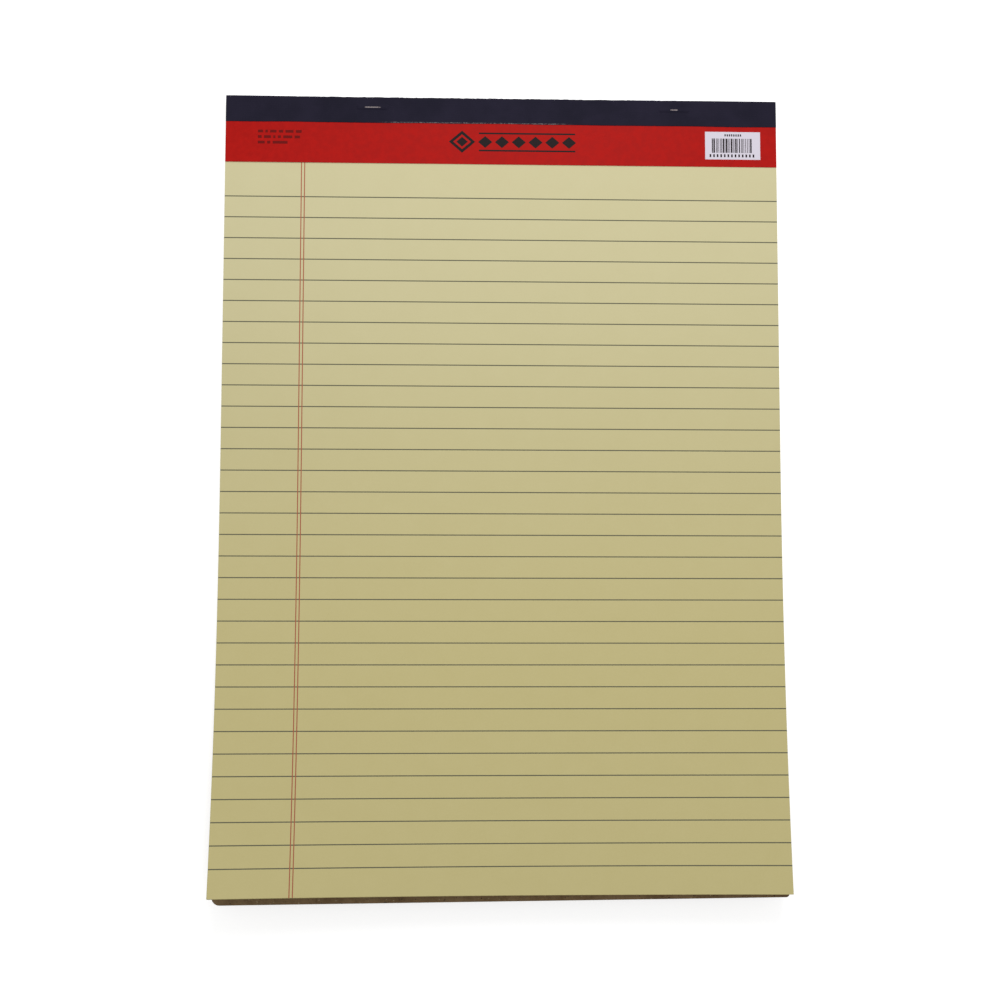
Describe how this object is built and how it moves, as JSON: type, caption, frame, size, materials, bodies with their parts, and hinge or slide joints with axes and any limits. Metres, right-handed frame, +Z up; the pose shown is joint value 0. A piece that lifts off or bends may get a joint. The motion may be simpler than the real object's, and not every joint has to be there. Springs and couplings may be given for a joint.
{
  "type": "legal pad",
  "caption": "Stapled writing pad in portrait A4 size: ruled yellow pages on a chipboard back, a red paper header and dark tape folded over the head. The foot end has curled up.",
  "frame": {"origin": "bottom centre of the pad's box, on the surface that it lies on", "axes": "+X to the right of the page, +Y towards the taped head, +Z up out of the top page"},
  "size_m": [0.21, 0.3014, 0.02],
  "materials": {
    "ruled_paper": "matt uncoated yellow writing paper, grey rules and a double red margin",
    "chipboard": "matt grey-brown chipboard with dark flecks",
    "header_paper": "smooth printed red paper, slight sheen",
    "binding_cloth": "dark blue-black binding tape, matt, worn pale at its edges",
    "staple_wire": "flattened galvanised wire"
  },
  "bodies": {
    "root": {"ruled_sheets": "ruled_paper", "backing_board": "chipboard", "header_strip": "header_paper", "binding_tape": "binding_cloth", "staple_left": "staple_wire", "staple_right": "staple_wire"}
  },
  "joints": []
}
